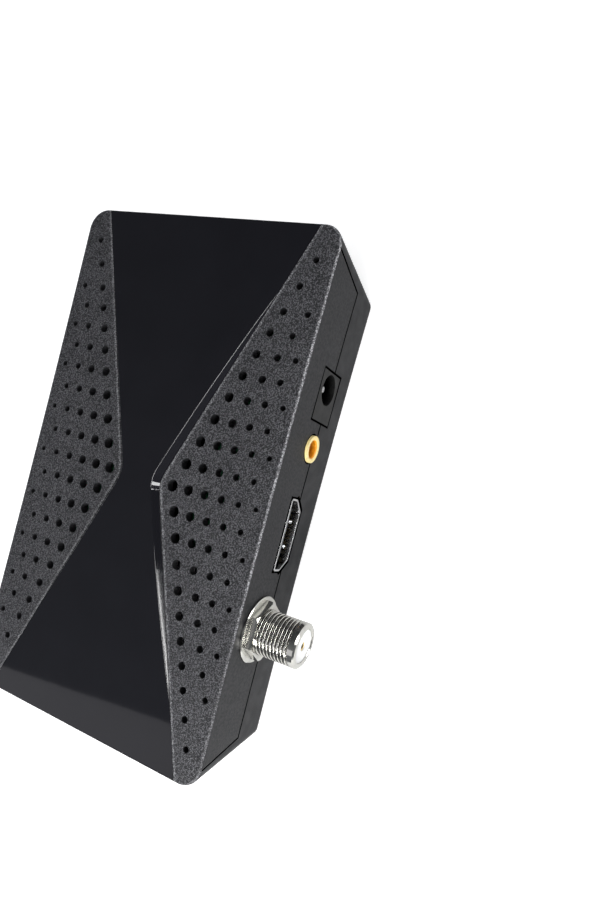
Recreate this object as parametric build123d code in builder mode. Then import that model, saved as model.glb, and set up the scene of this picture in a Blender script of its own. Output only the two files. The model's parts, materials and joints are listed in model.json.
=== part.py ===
from build123d import *
import math
import os

# Small satellite TV receiver, millimetres, +Z up.
# X runs along the case, +Y points out of the rear (socket) wall, and the origin is the
# centre of the whole outline at the plane that the feet stand on.
# Heights named *_height are measured from the underside of the tray.

# ---------------------------------------------------------------- case, driving sizes
case_length = 112.7        # over the raked ends, at the top
case_width = 63.6          # between the long walls
case_height = 22.6         # tray underside to the grille plane
end_rake = 6.25            # how far each end wall leans in at the underside
side_bow = 0.5             # the long walls are this much waisted at mid length
corner_radius = 4.5        # at the top; the raked corners get sharper downwards
base_corner_radius = 2.0   # at the underside
wall = 2.0
floor_thickness = 1.8
slab_edge = 1.4            # thickness of the top where it rests on the end walls
register_step = 0.6        # the top is this much thicker inside the end walls
register_length = 97.0     # length of that thicker middle
split_height = 9.2         # parting line between tray and cover on the long walls
split_gap = 0.3            # open groove of the parting line
corner_wrap = 4.4          # tray corner that reaches round onto each long wall
edge_round = 0.5           # top rim of the case
base_round = 0.5           # bottom rim of the tray
fit_gap = 0.1              # clearance between parts that drop into each other
press_gap = 0.02           # clearance between parts pressed into each other
cut_over = 1.0             # cuts run this far past the faces they open
inner_corner = 0.6         # least corner radius of the hollow

lip_height = 1.5           # rim of the tray behind the cover's skirt
lip_thickness = 0.9
lip_root = 1.0             # the rim starts this far below the parting line
lip_end_gap = 2.0          # the rim stops this short of the tray's corners

# ---------------------------------------------------------------- hourglass panel
panel_waist = 5.1          # half width at the waist, at the foot of its bevel
panel_end = 26.7           # half width at the ends
panel_crown = 1.35         # rise of the arched middle over the grille plane
panel_crown_reach = 42.0   # the arch runs out to flat this far from the middle
panel_recess = 0.8
panel_waist_round = 6.0
bevel_rise = 1.8           # the flanks lean in at 45 degrees over this rise
crest_round = 0.25         # where the flanks meet the arched top

# ---------------------------------------------------------------- perforated grilles
# rows from the middle to either end; they draw closer and then open out again
row_places = (0, 5.05, 10.15, 15.2, 20.15, 24.85, 29.5, 34.05, 38.5, 43.75, 49.1)
hole_pitch = 4.02          # across the case
hole_wall_distance = 3.15  # outermost hole of the even rows to the long wall
hole_panel_distance = 3.45 # innermost hole of every row to the hourglass panel
middle_row_holes = 6
widest_hole = 2.55
narrowest_hole = 1.05
narrower_per_hole = 0.30
narrower_per_row = 0.12
hole_sides = 12            # flats that stand for the round of each small hole

# ---------------------------------------------------------------- feet, screws, columns
foot_stand = 1.0           # how far the feet stand below the tray
foot_diameter = 9.0
foot_recess = 0.6
foot_end_distance = 23.1   # foot axes to the ends of the case
foot_edge_distance = 7.8   # and to its long walls
foot_x = case_length / 2 - foot_end_distance
foot_y = case_width / 2 - foot_edge_distance
foot_chamfer = 0.4
column_edge_distance = 14.3   # case screw axes to the long walls
column_y = case_width / 2 - column_edge_distance
column_diameter = 6.4
screw_shank = 2.6
screw_head = 5.0
screw_head_height = 1.8
screw_clearance = 3.0
screw_length = 13.0
screw_tip_room = 0.5       # blind hole beyond a screw's tip
cross_reach = 2.8          # cross recess of the case screws
cross_width = 0.6
cross_depth = 1.0
head_bore = 5.6
head_bore_depth = 3.2
boss_joint_height = 11.2   # where tray column and cover boss meet
vent_slot_length = 16.0
vent_slot_width = 1.6
vent_slot_pitch = 4.0
vent_slots = 7
vent_row_offset = 11.0
vent_slot_chamfer = 0.5

# ---------------------------------------------------------------- circuit board
board_length = 77.5
board_column_gap = 0.6     # its ends to the screw columns
column_x = board_length / 2 + board_column_gap + column_diameter / 2
board_wall_gap = 1.3       # long edges of the board to the inside of the walls
board_width = case_width - 2 * (wall + board_wall_gap)
board_thickness = 1.6
board_height = 7.8         # top face of the board
post_end_distance = 2.3    # post axes to the board's ends
post_edge_distance = 4.0   # and to its long edges
post_x = board_length / 2 - post_end_distance
post_y = board_width / 2 - post_edge_distance
post_diameter = 5.0
board_screw_shank = 1.8
board_screw_head = 3.8
board_screw_head_height = 1.3
board_screw_length = 5.0
board_tip_room = 0.3
board_hole = 2.4
seat_gap = 0.05            # parts soldered on the board sit this far above it

# ---------------------------------------------------------------- aerial socket (F type)
aerial_x = 23.9
aerial_height = 13.3
barrel_reach = 10.4        # barrel end beyond the case's width
barrel_diameter = 9.5
barrel_bore = 7.0
barrel_tip_chamfer = 0.4
wall_hole_clearance = 0.3
collar_diameter = 10.6
collar_thickness = 2.0
collar_set_off = 0.05      # collar to the inside of the wall
washer_diameter = 14.2
washer_thickness = 0.4
washer_round = 0.15
washer_stand_off = 0.1
nut_across_flats = 11.0
nut_thickness = 1.6
nut_chamfer = 0.35
thread_running_gap = 0.05
runout_width = 0.5         # groove just outside the seated nut
runout_depth = 0.3
insulator_set_back = 0.3
contact_diameter = 1.9
contact_bore = 1.0
contact_set_back = 0.2

# ---------------------------------------------------------------- tuner can
can_length = 20.6
can_depth = 18.0
can_height = 11.5
can_sheet = 0.4
lid_sheet = 0.3
lid_skirt = 2.0
lid_hole = 3.0
lid_hole_spread = 9.5      # between the trimming holes

# ---------------------------------------------------------------- HDMI socket
hdmi_x = 3.85
hdmi_width = 15.4
hdmi_tall = 5.55
hdmi_step_width = 10.6     # width of the narrow side
hdmi_straight = 2.6        # straight part of the short sides
hdmi_sheet = 0.4
hdmi_corner = 0.6          # outer bend of its sheet
hdmi_least_corner = 0.15
hdmi_depth = 11.6
hdmi_proud = 0.15
hdmi_tongue_width = 11.4
hdmi_tongue_thick = 1.5
hdmi_tongue_recess = 1.2
hdmi_back_block = 3.0
hdmi_contact_width = 0.45
hdmi_contact_pitch = 1.0
hdmi_contact_thick = 0.12
hdmi_spring_width = 2.2
hdmi_spring_drop = 0.5     # crest of a finger below the roof
hdmi_spring_spread = 6.2
hdmi_spring_root = 0.05    # fingers sink this far into the roof they are pressed from
hdmi_spring_start = 1.6
hdmi_spring_crest = 3.0
hdmi_spring_crest_end = 3.8
hdmi_spring_end = 5.6
hdmi_contact_start = 1.6
hdmi_contacts_above = 10
hdmi_contacts_below = 9

# ---------------------------------------------------------------- AV jack, 3.5 mm
av_x = -14.65
av_height = 10.8
av_bore = 3.6
av_ring_diameter = 5.7
av_ring_depth = 2.6
av_ring_proud = 0.5        # its face stands off the wall
av_mouth_chamfer = 0.3
av_body_width = 6.4
av_body_depth = 12.0
av_body_bore_depth = 9.0
av_tab_width = 1.2
av_tab_thick = 0.3
av_first_tab = 3.0         # behind the front of the body
av_second_tab = 9.0

# ---------------------------------------------------------------- power jack
dc_x = -25.7
dc_height = 10.1
dc_width = 10.4
dc_tall = 8.7
dc_depth = 13.5
dc_bore = 6.4
dc_bore_depth = 11.0
dc_bore_offset = -1.6
dc_pin_diameter = 2.0
dc_pin_point = 0.4         # bevel of the pin's tip
dc_pin_set_back = 1.2
dc_channel_width = 3.0
dc_channel_rise = 0.75
dc_leaf_width = 2.4
dc_leaf_thick = 0.3
dc_leaf_root_rise = 3.45   # root of the leaf above the bore's axis
dc_leaf_crest_rise = 2.55  # crest that meets the plug
dc_leaf_root_depth = 10.6
dc_leaf_crest_depth = 4.0
dc_leaf_tip_depth = 2.6
dc_leaf_tip_curl = 0.3     # the tip bends back up from the crest
dc_ear_reach = 1.4         # side ears that rest on the board
dc_ear_tall = 1.2
dc_ear_start = 5.0
dc_ear_depth = 5.0
dc_channel_front = 1.0     # the channel starts this far before the leaf's tip

# ---------------------------------------------------------------- USB socket, front wall
usb_x = 27.0
usb_width = 13.1
usb_tall = 5.7
usb_sheet = 0.35
usb_corner = 0.5           # outer corner of its sheet
usb_opening_gap = 0.2      # round the socket in the front wall
usb_tongue_drop = 0.5      # tongue below the roof of the shell
usb_block_gap = 0.2        # back block to the sides of the shell
usb_contact_start = 2.2
usb_depth = 13.0
usb_tongue_width = 11.1
usb_tongue_thick = 1.9
usb_tongue_recess = 1.4
usb_back_block = 3.0
usb_contact_width = 1.0
usb_contact_pitch = 2.3
usb_contact_thick = 0.15

# ---------------------------------------------------------------- front window, display
window_x = -10.0
window_length = 42.0
window_tall = 7.0
window_height = 15.0
window_thick = 1.1
window_ledge = 0.8
display_length = 25.0
display_margin = 1.0       # of the display's case above its digits
display_depth = 5.6
display_x = -16.0
display_set_back = 0.6     # its face behind the board's front edge
digit_count = 4
digit_pitch = 6.0
digit_width = 3.2
digit_tall = 5.8
digit_stroke = 0.8
digit_thick = 0.15
receiver_x = 2.0
receiver_width = 5.2
receiver_tall = 8.0
receiver_depth = 3.6
receiver_set_back = 1.9    # its face behind the board's front edge
lens_radius = 1.7
led_x = 7.6
led_diameter = 3.0
led_tall = 7.5
led_dome = 0.8             # bevel that stands for its domed top
led_set_back = 3.2         # lamp axis behind the board's front edge

# ---------------------------------------------------------------- derived places
corner_shy = side_bow * (1 - (1 - 2 * corner_radius / case_length) ** 2)
case_mid_y = -(barrel_reach + corner_shy) / 2
rear_y = case_mid_y + case_width / 2
front_y = case_mid_y - case_width / 2
slab_height = case_height - slab_edge
roof_height = slab_height - register_step
lip_top = split_height + lip_height


def level(height):
    """Horizontal plane over the middle of the case."""
    return Plane(origin=(0, case_mid_y, foot_stand + height))


def rear(depth):
    """Plane parallel to the rear wall: x along the case, y up, +z into the case."""
    return Plane(origin=(0, rear_y - depth, foot_stand), x_dir=(1, 0, 0), z_dir=(0, -1, 0))


def front(depth):
    """Plane parallel to the front wall: x along the case, y up, -z into the case."""
    return Plane(origin=(0, front_y + depth, foot_stand), x_dir=(1, 0, 0), z_dir=(0, -1, 0))


def lengthwise(origin):
    """Plane along a rear socket's axis: x into the case, y up."""
    return Plane(origin=origin, x_dir=(0, -1, 0), z_dir=(-1, 0, 0))


def wall_inset(x):
    """How far the bowed long wall lies inside the case width at x."""
    return side_bow * (1 - (2 * x / case_length) ** 2)


def end_at(height):
    """Half length of the case at a height: its end walls are raked."""
    return case_length / 2 - end_rake * (case_height - height) / case_height


def case_outline(height, inset):
    """Plan of the case at a height: waisted long sides, straight ends, round corners."""
    half = case_width / 2 - inset
    end = end_at(height) - inset
    with BuildSketch() as outline:
        with BuildLine():
            ThreePointArc((-end, half), (0, half - side_bow), (end, half))
            Line((end, half), (end, -half))
            ThreePointArc((end, -half), (0, side_bow - half), (-end, -half))
            Line((-end, -half), (-end, half))
        make_face()
        turn = base_corner_radius + (corner_radius - base_corner_radius) * height / case_height
        fillet(outline.vertices(), max(turn - inset, inner_corner))
    return outline.sketch


def case_core(inset, low, high):
    """The case's own form between two heights, moved in all round by inset."""
    with BuildPart() as core:
        with BuildSketch(level(0)):
            add(case_outline(0, inset))
        with BuildSketch(level(case_height)):
            add(case_outline(case_height, inset))
        loft(ruled=True)
        with BuildSketch(level(low)):
            Rectangle(2 * case_length, 2 * case_width)
        extrude(amount=high - low, mode=Mode.INTERSECT)
    return core.part


def skirt_prism(gap):
    """Everything between the tray's corners and above the parting line."""
    with BuildPart() as prism:
        with BuildSketch(Plane.XZ.offset(-case_mid_y)):
            low = split_height + gap
            low_end = end_at(low) - corner_wrap - gap
            high_end = end_at(slab_height) - corner_wrap - gap
            with BuildLine():
                Polyline(
                    (-low_end, foot_stand + low),
                    (low_end, foot_stand + low),
                    (high_end, foot_stand + slab_height),
                    (-high_end, foot_stand + slab_height),
                    close=True,
                )
            make_face()
        extrude(amount=case_width, both=True)
    return prism.part


def hourglass(half_waist, half_end, waist_round):
    """Outline of the hourglass panel, with rounded waist corners."""
    end = case_length / 2
    with BuildSketch() as outline:
        with BuildLine():
            Polyline(
                (-end, half_end), (0, half_waist), (end, half_end),
                (end, -half_end), (0, -half_waist), (-end, -half_end),
                close=True,
            )
        make_face()
        fillet(outline.vertices().sort_by(lambda v: abs(v.X))[:2], waist_round)
    return outline.sketch


def panel_edge(x):
    """Half width of the hourglass panel at x, at the foot of its bevel."""
    return panel_waist + (panel_end - panel_waist) * 2 * x / case_length


def mirrored_spots(x, y):
    """Four places, one in each quarter of the case."""
    return [(x, y), (x, -y), (-x, y), (-x, -y)]


# ---------------------------------------------------------------- places of the sockets
hdmi_height = board_height + seat_gap + hdmi_tall / 2
usb_height = board_height + seat_gap + usb_tall / 2


def hdmi_outline(grow):
    """HDMI mouth: wide at the top, stepped in at the bottom; grow moves it outward."""
    top = hdmi_tall / 2 + grow
    wide = hdmi_width / 2 + grow
    narrow = hdmi_step_width / 2 + grow * math.tan(math.pi / 6)
    shoulder = top - hdmi_straight - grow
    with BuildSketch() as outline:
        with BuildLine():
            Polyline(
                (-wide, top), (wide, top), (wide, shoulder),
                (narrow, -top), (-narrow, -top), (-wide, shoulder),
                close=True,
            )
        make_face()
        fillet(outline.vertices(), max(hdmi_corner + grow, hdmi_least_corner))
    return outline.sketch


# openings of the rear and front walls; each straddles the parting line
cut_reach = wall + side_bow + 2 * cut_over
with BuildPart() as wall_openings:
    with BuildSketch(rear(-cut_over)):
        with Locations((dc_x, dc_height)):
            Rectangle(dc_width + 2 * fit_gap, dc_tall + 2 * fit_gap)
        with Locations((av_x, av_height)):
            Circle(av_ring_diameter / 2 + fit_gap)
        with Locations((aerial_x, aerial_height)):
            Circle(barrel_diameter / 2 + wall_hole_clearance)
        with Locations((hdmi_x, hdmi_height)):
            add(hdmi_outline(fit_gap))
    extrude(amount=cut_reach)
    with BuildSketch(front(-cut_over)):
        with Locations((usb_x, usb_height)):
            Rectangle(usb_width + 2 * usb_opening_gap, usb_tall + 2 * usb_opening_gap)
    extrude(amount=-cut_reach)

# ---------------------------------------------------------------- tray
# rim that the cover's skirts slip over
with BuildPart() as rim:
    add(case_core(wall - lip_thickness, floor_thickness, lip_top))
    add(case_core(wall, floor_thickness - cut_over, lip_top + cut_over), mode=Mode.SUBTRACT)
    with BuildSketch(level(split_height - lip_root)):
        Rectangle(2 * (end_at(split_height) - corner_wrap - lip_end_gap), 2 * case_width)
    extrude(amount=lip_height + lip_root, mode=Mode.INTERSECT)

with BuildPart() as bottom_tray:
    add(case_core(0, 0, slab_height))
    fillet(bottom_tray.faces().sort_by(Axis.Z)[0].edges(), base_round)
    add(case_core(wall, floor_thickness, case_height), mode=Mode.SUBTRACT)
    add(skirt_prism(0), mode=Mode.SUBTRACT)
    add(rim.part)
    # board posts and case screw columns
    with BuildSketch(level(floor_thickness)):
        with Locations(*mirrored_spots(post_x, post_y)):
            Circle(post_diameter / 2)
    extrude(amount=board_height - board_thickness - floor_thickness)
    with BuildSketch(level(floor_thickness)):
        with Locations(*mirrored_spots(column_x, column_y)):
            Circle(column_diameter / 2)
    extrude(amount=boss_joint_height - floor_thickness)
    with BuildSketch(level(board_height - board_thickness)):
        with Locations(*mirrored_spots(post_x, post_y)):
            Circle(board_screw_shank / 2)
    extrude(amount=board_thickness - board_screw_length - board_tip_room, mode=Mode.SUBTRACT)
    with BuildSketch(level(0)):
        with Locations(*mirrored_spots(column_x, column_y)):
            Circle(screw_clearance / 2)
    extrude(amount=boss_joint_height, mode=Mode.SUBTRACT)
    with BuildSketch(level(0)):
        with Locations(*mirrored_spots(column_x, column_y)):
            Circle(head_bore / 2)
    extrude(amount=head_bore_depth, mode=Mode.SUBTRACT)
    # seats of the feet
    with BuildSketch(level(0)):
        with Locations(*mirrored_spots(foot_x, foot_y)):
            Circle(foot_diameter / 2 + fit_gap)
    extrude(amount=foot_recess, mode=Mode.SUBTRACT)
    # vent slots in the floor
    with BuildSketch(level(0)) as vents:
        with Locations((0, vent_row_offset), (0, -vent_row_offset)):
            with GridLocations(vent_slot_pitch, 1, vent_slots, 1):
                Rectangle(vent_slot_width, vent_slot_length)
        chamfer(vents.vertices(), vent_slot_chamfer)
    extrude(amount=floor_thickness, mode=Mode.SUBTRACT)
    add(wall_openings.part, mode=Mode.SUBTRACT)
bottom_tray.part.label = "bottom_tray"

# ---------------------------------------------------------------- cover
with BuildPart() as skirts:
    add(case_core(0, split_height, slab_height))
    add(case_core(wall, split_height - cut_over, slab_height + cut_over), mode=Mode.SUBTRACT)
    add(skirt_prism(split_gap), mode=Mode.INTERSECT)

lip_relief = case_core(wall - lip_thickness - fit_gap, split_height - cut_over, lip_top + fit_gap)

# thicker middle that drops inside the end walls
with BuildPart() as register:
    add(case_core(wall, roof_height, slab_height))
    with BuildSketch(level(roof_height)):
        Rectangle(register_length, 2 * case_width)
    extrude(amount=register_step, mode=Mode.INTERSECT)

with BuildPart() as top_cover:
    add(case_core(0, slab_height, case_height))
    rim_edges = top_cover.faces().sort_by(Axis.Z)[-1].edges()
    fillet(rim_edges, edge_round)
    add(skirts.part)
    add(lip_relief, mode=Mode.SUBTRACT)
    add(register.part)
    # seat of the hourglass panel
    with BuildSketch(level(case_height)):
        add(hourglass(panel_waist, panel_end, panel_waist_round))
    extrude(amount=-panel_recess, mode=Mode.SUBTRACT)
    # bosses for the case screws
    with BuildSketch(level(roof_height)):
        with Locations(*mirrored_spots(column_x, column_y)):
            Circle(column_diameter / 2)
    extrude(amount=-(roof_height - boss_joint_height - fit_gap))
    with BuildSketch(level(boss_joint_height)):
        with Locations(*mirrored_spots(column_x, column_y)):
            Circle(screw_shank / 2)
    thread_depth = head_bore_depth + screw_length - boss_joint_height + screw_tip_room
    extrude(amount=thread_depth, mode=Mode.SUBTRACT)
    # perforations: staggered rows that get shorter and finer towards the corners
    for away, along in enumerate(row_places):
        holes = middle_row_holes - math.ceil(away / 2)
        outermost = case_width / 2 - hole_wall_distance - (away % 2) * hole_pitch / 2
        innermost = panel_edge(along) + hole_panel_distance
        with BuildSketch(level(case_height)):
            for hole in range(holes):
                across = outermost - (holes - 1 - hole) * hole_pitch if hole else innermost
                size = widest_hole - narrower_per_hole * hole - narrower_per_row * away
                with Locations(*set(mirrored_spots(along, across))):
                    RegularPolygon(max(size, narrowest_hole) / 2, hole_sides)
        extrude(amount=-(case_height - roof_height), mode=Mode.SUBTRACT)
    # window seat in the front skirt
    with BuildSketch(front(-cut_over)):
        with Locations((window_x, window_height)):
            Rectangle(window_length - 2 * window_ledge, window_tall - 2 * window_ledge)
    extrude(amount=-(wall + 2 * cut_over), mode=Mode.SUBTRACT)
    with BuildSketch(front(wall_inset(0) + window_thick)):
        with Locations((window_x, window_height)):
            Rectangle(window_length, window_tall)
    extrude(amount=window_thick + cut_over, mode=Mode.SUBTRACT)
    add(wall_openings.part, mode=Mode.SUBTRACT)
top_cover.part.label = "top_cover"

# ---------------------------------------------------------------- hourglass panel
with BuildPart() as gloss_panel:
    add(case_core(0, case_height - panel_recess, case_height))
    with BuildSketch(level(case_height - panel_recess)):
        add(hourglass(panel_waist - fit_gap, panel_end - fit_gap, panel_waist_round))
    extrude(amount=panel_recess, mode=Mode.INTERSECT)
    with BuildSketch(level(case_height)):
        add(hourglass(panel_waist - fit_gap, panel_end - fit_gap, panel_waist_round))
    with BuildSketch(level(case_height + bevel_rise)):
        add(hourglass(panel_waist - fit_gap - bevel_rise, panel_end - fit_gap - bevel_rise,
                      panel_waist_round + bevel_rise))
    loft(ruled=True)
    with BuildSketch(Plane.XZ.offset(-case_mid_y)):
        base = foot_stand + case_height
        end = case_length / 2
        reach = panel_crown_reach
        with BuildLine():
            Polyline((-reach, base), (-end, base), (-end, base - panel_recess),
                     (end, base - panel_recess), (end, base), (reach, base))
            ThreePointArc((reach, base), (0, base + panel_crown), (-reach, base))
        make_face()
    extrude(amount=case_width, both=True, mode=Mode.INTERSECT)
    raised = gloss_panel.edges().filter_by(lambda e: e.center().Z > base)
    crests = raised.filter_by(lambda e: abs(e.center().X) > panel_waist)
    fillet(crests.filter_by(lambda e: e.length > panel_crown_reach / 2), crest_round)
    ends = gloss_panel.faces().sort_by(Axis.X)
    fillet([ends[0].edges().sort_by(Axis.Z)[-1], ends[-1].edges().sort_by(Axis.Z)[-1]], edge_round)
gloss_panel.part.label = "gloss_panel"

# ---------------------------------------------------------------- feet and case screws
with BuildPart() as rubber_feet:
    with BuildSketch(level(-foot_stand)):
        with Locations(*mirrored_spots(foot_x, foot_y)):
            Circle(foot_diameter / 2)
    extrude(amount=foot_stand + foot_recess)
    chamfer(rubber_feet.faces().group_by(Axis.Z)[0].edges(), foot_chamfer)
rubber_feet.part.label = "rubber_feet"

with BuildPart() as case_screws:
    with BuildSketch(level(head_bore_depth - screw_head_height)):
        with Locations(*mirrored_spots(column_x, column_y)):
            Circle(screw_head / 2)
    extrude(amount=screw_head_height)
    with BuildSketch(level(head_bore_depth)):
        with Locations(*mirrored_spots(column_x, column_y)):
            Circle(screw_shank / 2)
    extrude(amount=screw_length)
    with BuildSketch(level(head_bore_depth - screw_head_height)):
        with Locations(*mirrored_spots(column_x, column_y)):
            Rectangle(cross_reach, cross_width)
            Rectangle(cross_width, cross_reach)
    extrude(amount=cross_depth, mode=Mode.SUBTRACT)
case_screws.part.label = "case_screws"

# ---------------------------------------------------------------- circuit board
with BuildPart() as circuit_board:
    with BuildSketch(level(board_height - board_thickness)):
        Rectangle(board_length, board_width)
        with Locations(*mirrored_spots(post_x, post_y)):
            Circle(board_hole / 2, mode=Mode.SUBTRACT)
    extrude(amount=board_thickness)
    # notch that the power jack sits in
    with BuildSketch(rear(0)):
        with Locations((dc_x, board_height)):
            Rectangle(dc_width + 2 * fit_gap, 2 * (board_thickness + cut_over))
    extrude(amount=wall_inset(dc_x) + dc_depth + fit_gap, mode=Mode.SUBTRACT)
circuit_board.part.label = "circuit_board"

with BuildPart() as board_screws:
    with BuildSketch(level(board_height)):
        with Locations(*mirrored_spots(post_x, post_y)):
            Circle(board_screw_head / 2)
    extrude(amount=board_screw_head_height)
    with BuildSketch(level(board_height)):
        with Locations(*mirrored_spots(post_x, post_y)):
            Circle(board_screw_shank / 2)
    extrude(amount=-board_screw_length)
board_screws.part.label = "board_screws"

# ---------------------------------------------------------------- aerial socket
aerial_face = wall_inset(aerial_x)          # outside of the rear wall at the socket
can_face = aerial_face + wall + collar_set_off + collar_thickness
washer_face = aerial_face - washer_stand_off
nut_face = washer_face - washer_thickness - nut_thickness     # outer face of the seated nut


def on_aerial(depth):
    """Plane square to the aerial socket's axis, at a depth into the case."""
    plane = rear(depth)
    return plane.shift_origin(plane.from_local_coords((aerial_x, aerial_height, 0)))


with BuildPart() as f_barrel:
    with BuildSketch(on_aerial(-barrel_reach)):
        Circle(barrel_diameter / 2)
    extrude(amount=barrel_reach + can_face)
    chamfer(f_barrel.faces().sort_by(Axis.Y)[-1].edges(), barrel_tip_chamfer)
    with BuildSketch(on_aerial(can_face - collar_thickness)):
        Circle(collar_diameter / 2)
    extrude(amount=collar_thickness)
    with BuildSketch(on_aerial(-barrel_reach)):
        Circle(barrel_bore / 2)
    extrude(amount=barrel_reach + can_face, mode=Mode.SUBTRACT)
    with BuildSketch(on_aerial(nut_face - runout_width)):
        Circle(barrel_diameter / 2)
        Circle(barrel_diameter / 2 - runout_depth, mode=Mode.SUBTRACT)
    extrude(amount=runout_width, mode=Mode.SUBTRACT)
f_barrel.part.label = "f_barrel"

with BuildPart() as f_insulator:
    with BuildSketch(on_aerial(insulator_set_back - barrel_reach)):
        Circle(barrel_bore / 2 - press_gap)
        Circle(contact_diameter / 2, mode=Mode.SUBTRACT)
    extrude(amount=barrel_reach + can_face - insulator_set_back)
f_insulator.part.label = "f_insulator"

with BuildPart() as f_centre_contact:
    with BuildSketch(on_aerial(insulator_set_back + contact_set_back - barrel_reach)):
        Circle(contact_diameter / 2 - press_gap)
    extrude(amount=barrel_reach + can_face - insulator_set_back - contact_set_back)
    with BuildSketch(on_aerial(insulator_set_back + contact_set_back - barrel_reach)):
        Circle(contact_bore / 2)
    extrude(amount=barrel_reach, mode=Mode.SUBTRACT)
f_centre_contact.part.label = "f_centre_contact"

with BuildPart() as f_washer:
    with BuildSketch(on_aerial(washer_face - washer_thickness)):
        Circle(washer_diameter / 2)
        Circle(barrel_diameter / 2 + 2 * thread_running_gap, mode=Mode.SUBTRACT)
    extrude(amount=washer_thickness)
    chamfer(f_washer.faces().sort_by(Axis.Y)[-1].edges().sort_by(SortBy.LENGTH)[-1], washer_round)
f_washer.part.label = "f_washer"

# disc with turned corners that the hexagon is cut from
with BuildPart() as nut_blank:
    with BuildSketch(on_aerial(nut_face)):
        Circle(nut_across_flats / 2 / math.cos(math.pi / 6))
    extrude(amount=nut_thickness)
    chamfer(nut_blank.faces().sort_by(Axis.Y)[-1].edges(), nut_chamfer)

with BuildPart() as f_nut:
    with BuildSketch(on_aerial(nut_face)):
        RegularPolygon(nut_across_flats / 2, 6, major_radius=False)
        Circle(barrel_diameter / 2 + thread_running_gap, mode=Mode.SUBTRACT)
    extrude(amount=nut_thickness)
    add(nut_blank.part, mode=Mode.INTERSECT)
f_nut.part.label = "f_nut"

# ---------------------------------------------------------------- tuner can
can_rear_y = case_width / 2 - can_face      # its socket wall, from the middle of the case
can_mid_y = can_rear_y - can_depth / 2
with BuildPart() as tuner_can:
    with BuildSketch(level(board_height + seat_gap)):
        with Locations((aerial_x, can_mid_y)):
            Rectangle(can_length, can_depth)
            Rectangle(can_length - 2 * can_sheet, can_depth - 2 * can_sheet, mode=Mode.SUBTRACT)
    extrude(amount=can_height)
    with BuildSketch(on_aerial(can_face)):
        Circle(barrel_bore / 2)
    extrude(amount=can_sheet, mode=Mode.SUBTRACT)
tuner_can.part.label = "tuner_can"

can_top = board_height + seat_gap + can_height
with BuildPart() as tuner_lid:
    lid_grow = 2 * (fit_gap + lid_sheet)
    with BuildSketch(level(can_top - lid_skirt)):
        with Locations((aerial_x, can_mid_y)):
            Rectangle(can_length + lid_grow, can_depth - 2 * fit_gap)
    extrude(amount=lid_skirt + lid_sheet)
    with BuildSketch(level(can_top - lid_skirt)):
        with Locations((aerial_x, can_mid_y)):
            Rectangle(can_length + 2 * fit_gap, can_depth)
    extrude(amount=lid_skirt, mode=Mode.SUBTRACT)
    with BuildSketch(level(can_top)):
        with Locations((aerial_x, can_mid_y)):
            with GridLocations(lid_hole_spread, lid_hole_spread, 2, 2):
                Circle(lid_hole / 2)
    extrude(amount=lid_sheet, mode=Mode.SUBTRACT)
tuner_lid.part.label = "tuner_lid"

# ---------------------------------------------------------------- HDMI socket
hdmi_face_depth = wall_inset(hdmi_x) - hdmi_proud


def on_hdmi(depth):
    """Plane square to the HDMI socket's axis, at a depth behind its mouth."""
    plane = rear(hdmi_face_depth + depth)
    return plane.shift_origin(plane.from_local_coords((hdmi_x, hdmi_height, 0)))


hdmi_roof = hdmi_tall / 2 - hdmi_sheet
with BuildPart() as hdmi_shell:
    with BuildSketch(on_hdmi(0)):
        add(hdmi_outline(0))
    extrude(amount=hdmi_depth)
    with BuildSketch(on_hdmi(0)):
        add(hdmi_outline(-hdmi_sheet))
    extrude(amount=hdmi_depth, mode=Mode.SUBTRACT)
    # two sprung fingers pressed out of the wide side
    with BuildSketch(lengthwise(on_hdmi(0).origin)) as finger:
        with BuildLine():
            Polyline(
                (hdmi_spring_start, hdmi_roof + hdmi_spring_root),
                (hdmi_spring_crest, hdmi_roof - hdmi_spring_drop),
                (hdmi_spring_crest_end, hdmi_roof - hdmi_spring_drop),
                (hdmi_spring_end, hdmi_roof + hdmi_spring_root),
                close=True,
            )
        make_face()
    with Locations((hdmi_spring_spread / 2, 0, 0), (-hdmi_spring_spread / 2, 0, 0)):
        add(extrude(finger.sketch, hdmi_spring_width / 2, both=True, mode=Mode.PRIVATE))
hdmi_shell.part.label = "hdmi_shell"

with BuildPart() as hdmi_tongue:
    with BuildSketch(on_hdmi(hdmi_depth - hdmi_back_block)):
        add(hdmi_outline(-hdmi_sheet - press_gap))
    extrude(amount=hdmi_back_block)
    with BuildSketch(on_hdmi(hdmi_tongue_recess)):
        Rectangle(hdmi_tongue_width, hdmi_tongue_thick)
    extrude(amount=hdmi_depth - hdmi_back_block - hdmi_tongue_recess)
hdmi_tongue.part.label = "hdmi_tongue"

with BuildPart() as hdmi_contacts:
    strip = (hdmi_tongue_thick + hdmi_contact_thick) / 2
    with BuildSketch(on_hdmi(hdmi_contact_start)):
        with Locations((0, strip)):
            with GridLocations(hdmi_contact_pitch, 1, hdmi_contacts_above, 1):
                Rectangle(hdmi_contact_width, hdmi_contact_thick)
        with Locations((0, -strip)):
            with GridLocations(hdmi_contact_pitch, 1, hdmi_contacts_below, 1):
                Rectangle(hdmi_contact_width, hdmi_contact_thick)
    extrude(amount=hdmi_depth - hdmi_back_block - hdmi_contact_start)
hdmi_contacts.part.label = "hdmi_contacts"

# ---------------------------------------------------------------- AV jack
av_face_depth = wall_inset(av_x)


def on_av(depth):
    """Plane square to the AV jack's axis, at a depth behind its face."""
    plane = rear(av_face_depth + depth)
    return plane.shift_origin(plane.from_local_coords((av_x, av_height, 0)))


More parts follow.
